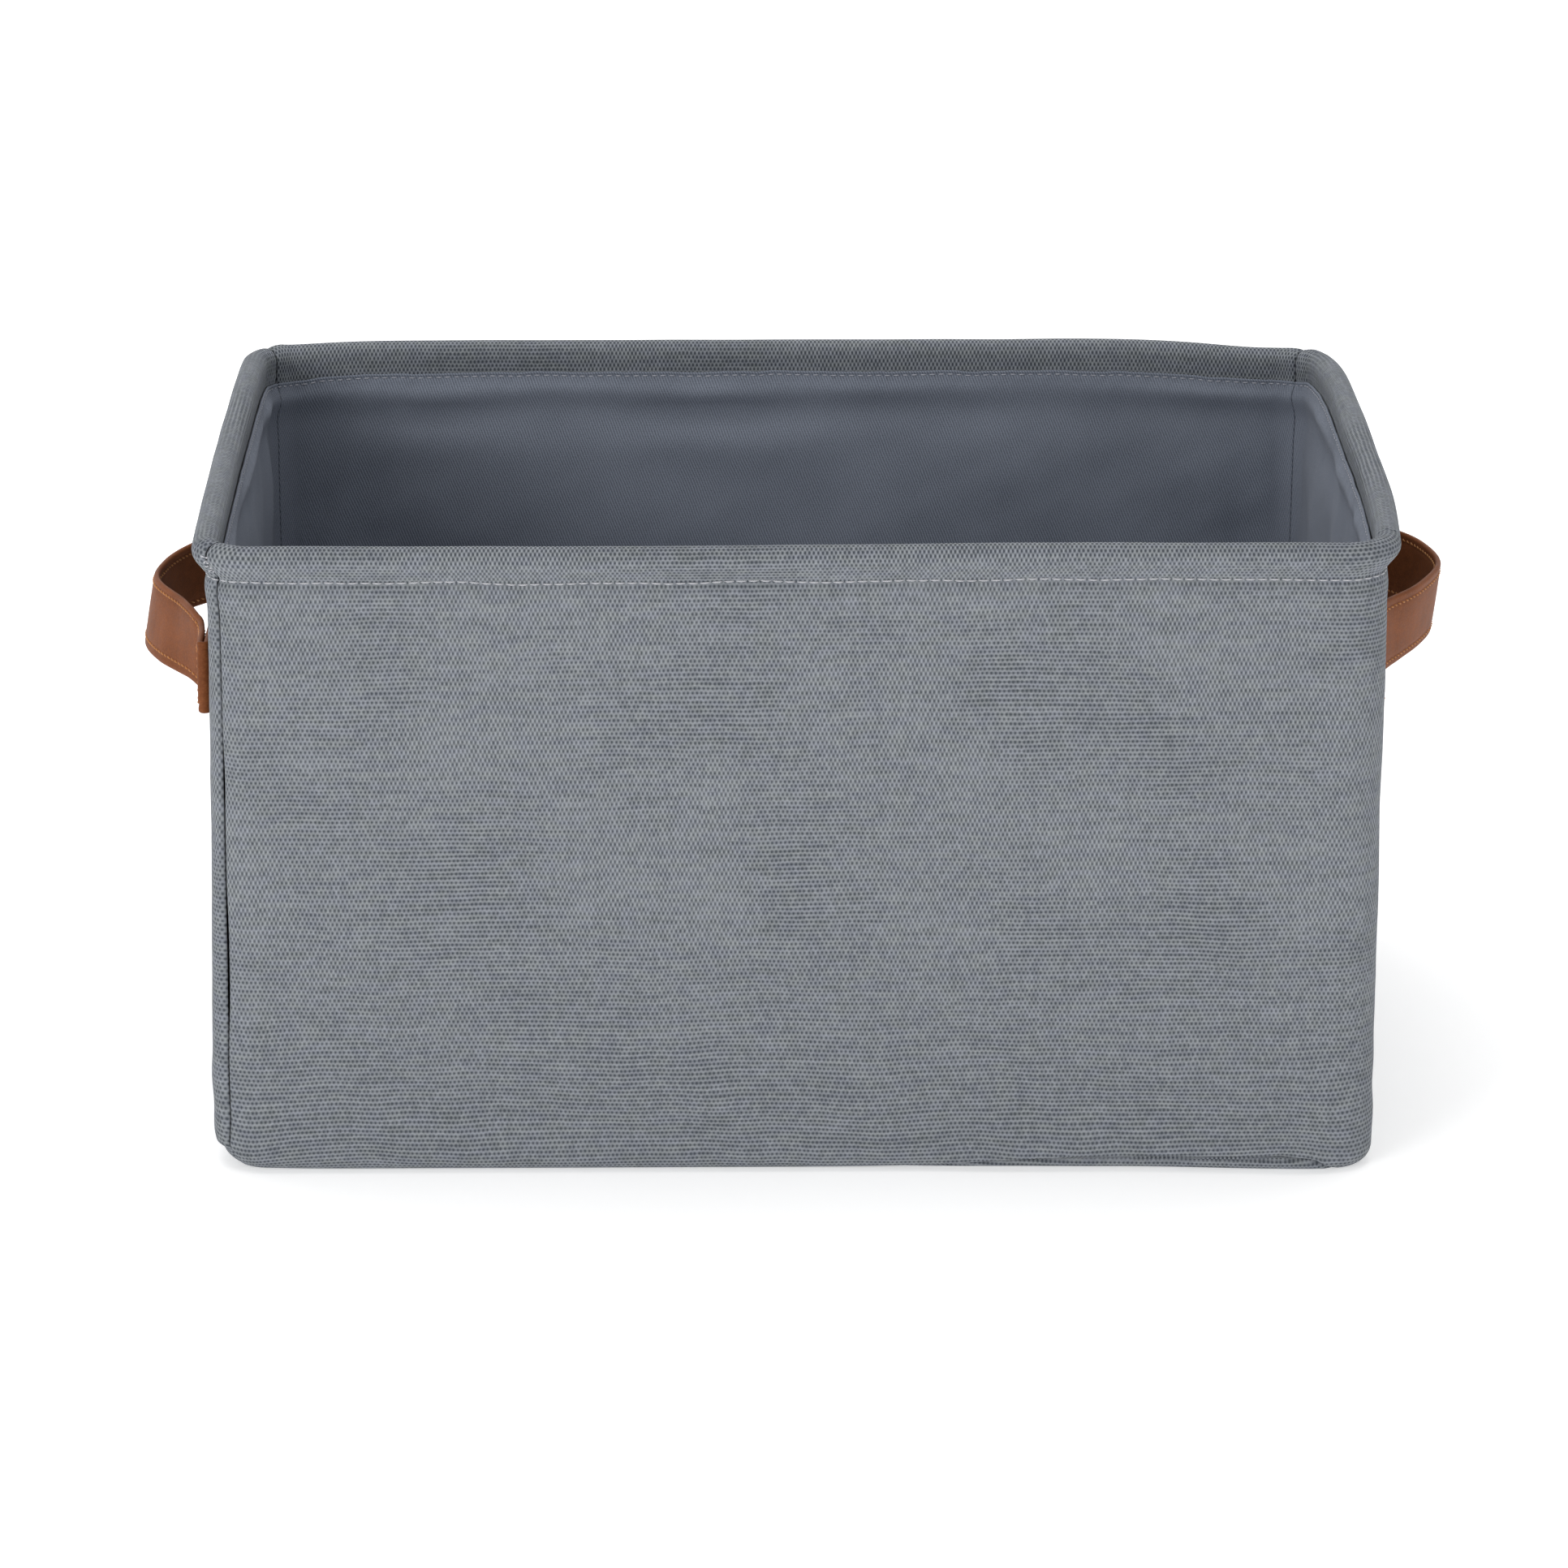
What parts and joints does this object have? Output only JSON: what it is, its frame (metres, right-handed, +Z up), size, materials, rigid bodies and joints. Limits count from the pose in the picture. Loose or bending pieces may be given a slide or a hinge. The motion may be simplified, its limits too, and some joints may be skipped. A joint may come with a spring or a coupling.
{
  "type": "fabric storage bin",
  "caption": "Open rectangular canvas storage bin with a rolled wire rim, cloth lining, leather strap handles and a lift-out base board.",
  "frame": {"origin": "middle of the base, on the surface the bin stands on", "axes": "+X to the right, through the right handle; +Y to the back; +Z up"},
  "size_m": [0.463, 0.3092, 0.2253],
  "materials": {
    "canvas": "matte basket weave, blue-grey",
    "lining": "matte fine twill, dark blue-grey",
    "board": "plain brown cardboard",
    "steel": "drawn wire",
    "canvas_thread": "twisted thread, light grey",
    "strap_leather": "satin brown leather, fine grain",
    "strap_core": "bonded filler",
    "strap_thread": "twisted thread, orange brown"
  },
  "bodies": {
    "shell": {"front_panel": "canvas", "back_panel": "canvas", "left_panel": "canvas", "right_panel": "canvas", "base_panel": "canvas", "front_board": "board", "back_board": "board", "left_board": "board", "right_board": "board", "front_lining": "lining", "back_lining": "lining", "left_lining": "lining", "right_lining": "lining", "base_lining": "lining", "rim_wire": "steel", "rim_wire_sleeve": "steel", "rim_thread": "canvas_thread", "left_front_strap_end": "strap_leather", "left_rear_strap_end": "strap_leather", "right_front_strap_end": "strap_leather", "right_rear_strap_end": "strap_leather", "strap_end_thread": "strap_thread"},
    "left_handle": {"left_strap": "strap_leather", "left_strap_core": "strap_core", "left_strap_thread": "strap_thread"},
    "right_handle": {"right_strap": "strap_leather", "right_strap_core": "strap_core", "right_strap_thread": "strap_thread"},
    "base_insert": {"insert_board": "board", "insert_cover": "lining"}
  },
  "joints": [
    {"name": "left_handle_swing", "type": "hinge", "parent": "shell", "child": "left_handle", "pos_m": [-0.206, 0, 0.163], "axis": [0, 1, 0], "range_deg": [-40, 60]},
    {"name": "right_handle_swing", "type": "hinge", "parent": "shell", "child": "right_handle", "pos_m": [0.206, 0, 0.163], "axis": [0, -1, 0], "range_deg": [-40, 60]},
    {"name": "base_insert_lift", "type": "slide", "parent": "shell", "child": "base_insert", "axis": [0, 0, 1], "range_m": [0, 0.25]}
  ]
}
